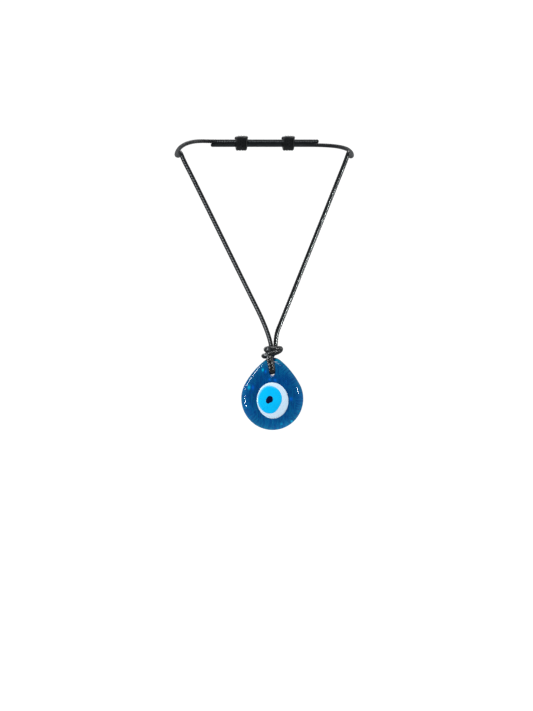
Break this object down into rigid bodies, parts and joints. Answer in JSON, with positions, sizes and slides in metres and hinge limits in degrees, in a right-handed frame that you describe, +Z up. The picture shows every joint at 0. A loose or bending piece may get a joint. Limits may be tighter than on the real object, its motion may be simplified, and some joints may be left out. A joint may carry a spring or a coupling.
{
  "type": "evil eye pendant necklace",
  "caption": "Clear blue glass drop with a fused eye, hung by a knotted loop on a black waxed cord necklace with sliding knots.",
  "frame": {"origin": "midway between the two places where the cord bends over the shoulders of the neck that it hangs on", "axes": "+X to the viewer's right along the line between the shoulder bends, -Y the front of the pendant, +Z up"},
  "size_m": [0.0927, 0.0925, 0.158],
  "materials": {
    "blue_glass": "clear cast glass, fire polished",
    "white_glass": "opaque, glossy",
    "light_blue_glass": "opaque, glossy",
    "dark_glass": "opaque, glossy",
    "waxed_cord": "braided cotton, waxed, slightly glossy"
  },
  "bodies": {
    "neck_loop": {"cord_left_back": "waxed_cord", "cord_right_back": "waxed_cord", "closure_strand_upper": "waxed_cord", "closure_strand_lower": "waxed_cord"},
    "front_v": {"cord_left_leg": "waxed_cord", "cord_right_leg": "waxed_cord", "pendant_knot": "waxed_cord", "pendant_loop": "waxed_cord"},
    "pendant": {"glass_drop": "blue_glass", "eye_white": "white_glass", "eye_iris": "light_blue_glass", "eye_pupil": "dark_glass"},
    "left_sliding_knot": {"slide_knot_left": "waxed_cord"},
    "right_sliding_knot": {"slide_knot_right": "waxed_cord"}
  },
  "joints": [
    {"name": "front_swing", "type": "hinge", "parent": "neck_loop", "child": "front_v", "pos_m": [0, 0, 0], "axis": [-1, 0, 0], "range_deg": [-15, 60]},
    {"name": "pendant_sway", "type": "hinge", "parent": "front_v", "child": "pendant", "pos_m": [0.0038, 0, -0.1065], "axis": [0, 1, 0], "range_deg": [-22, 22]},
    {"name": "left_knot_slide", "type": "slide", "parent": "neck_loop", "child": "left_sliding_knot", "axis": [-1, 0, 0], "range_m": [-0.006, 0.008]},
    {"name": "right_knot_slide", "type": "slide", "parent": "neck_loop", "child": "right_sliding_knot", "axis": [1, 0, 0], "range_m": [-0.006, 0.008]}
  ]
}
